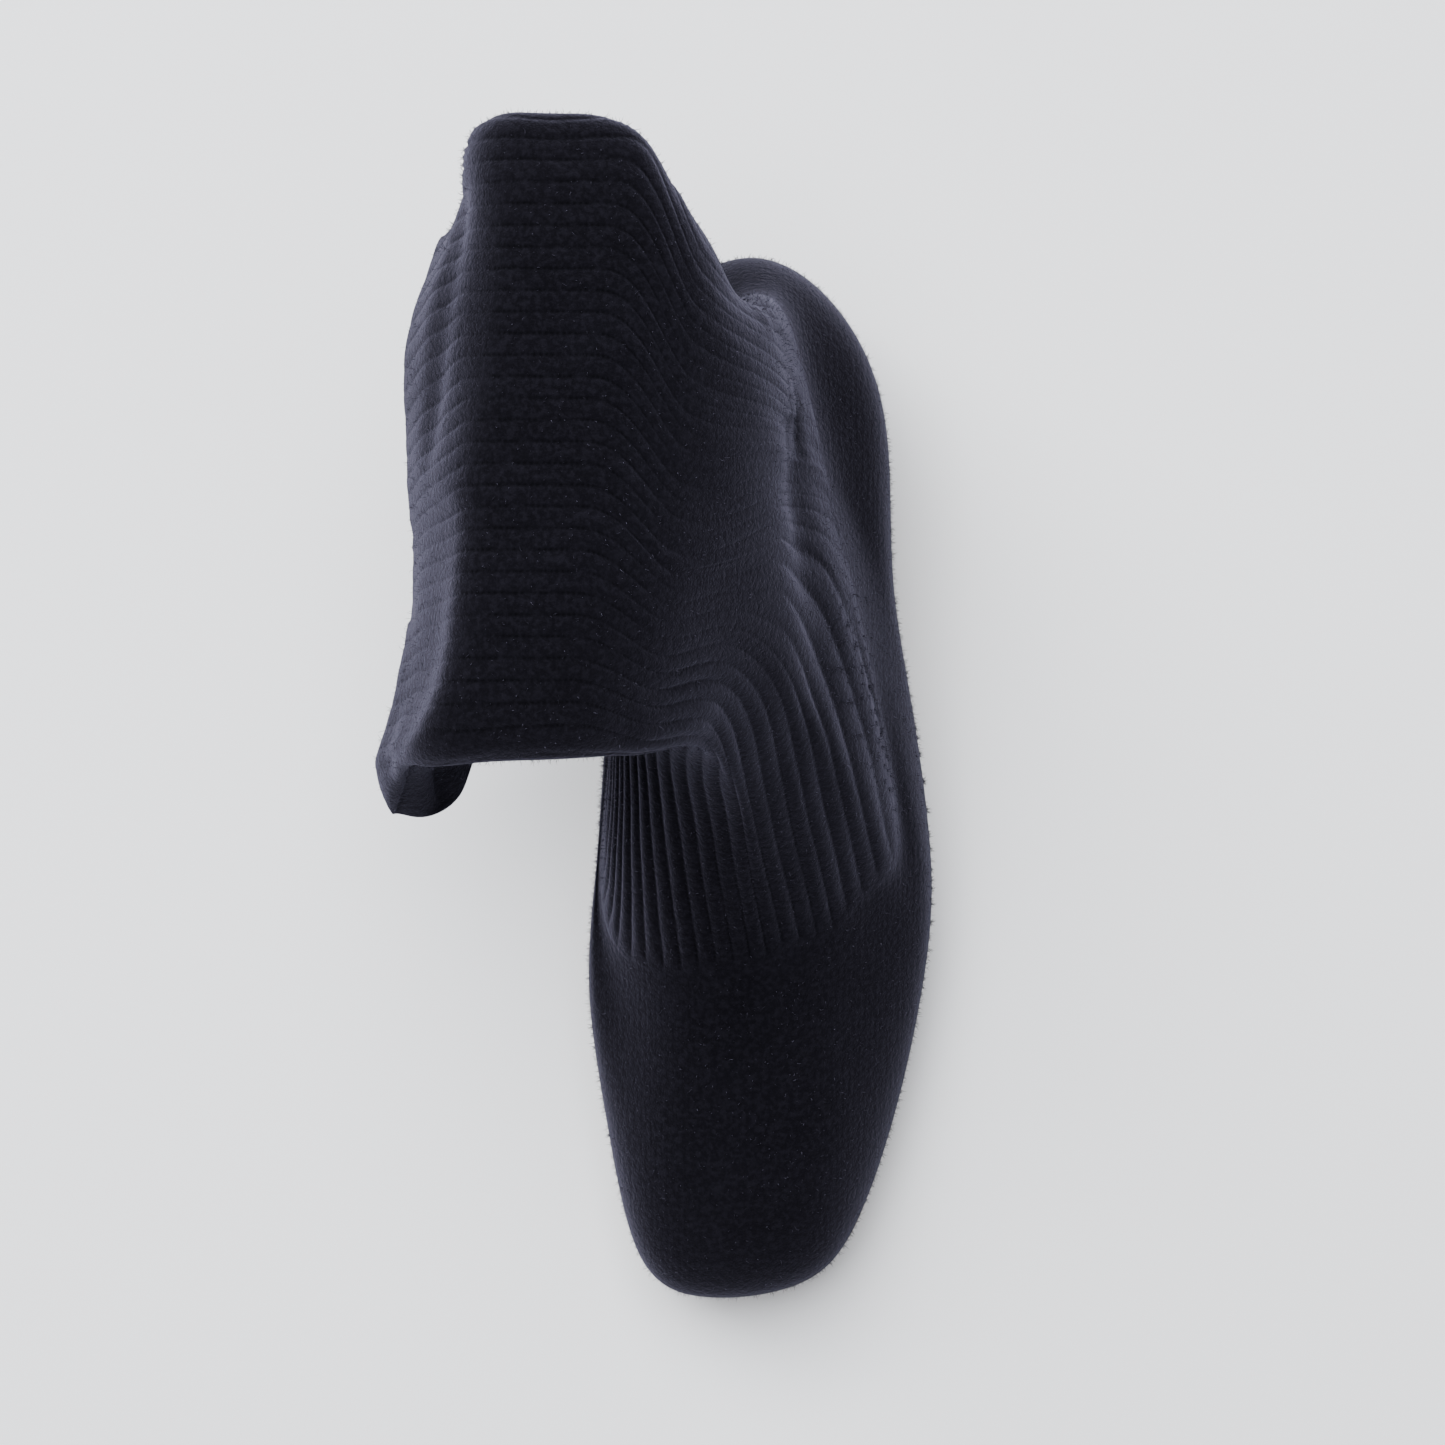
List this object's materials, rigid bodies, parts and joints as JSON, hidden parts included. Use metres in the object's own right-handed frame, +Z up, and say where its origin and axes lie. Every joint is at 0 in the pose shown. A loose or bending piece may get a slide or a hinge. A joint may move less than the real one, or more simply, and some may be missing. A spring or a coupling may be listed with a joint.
{
  "type": "sweater boot",
  "caption": "Left sweater boot in dark felted knit, its tall ribbed shaft slumped over to the inner side, on a thin sole with a low heel.",
  "frame": {"origin": "on the floor, under the middle of the heel's top piece", "axes": "+Z up, +Y from the toe towards the heel, -X towards the inner side of the foot"},
  "size_m": [0.1263, 0.2721, 0.1392],
  "materials": {
    "felted_knit": "matte felted knit with a short nap",
    "ribbed_knit": "matte felted rib knit with a soft sheen",
    "sole_leather": "bare pale edge, lightly smoothed",
    "insole_leather": "dark matt lining leather",
    "heel_leather": "dark stained stack, satin",
    "heel_rubber": "matt black rubber"
  },
  "bodies": {
    "root": {"outsole": "sole_leather", "heel": "heel_leather", "heel_top_piece": "heel_rubber", "insole": "insole_leather", "upper": "felted_knit", "shaft": "ribbed_knit"}
  },
  "joints": []
}
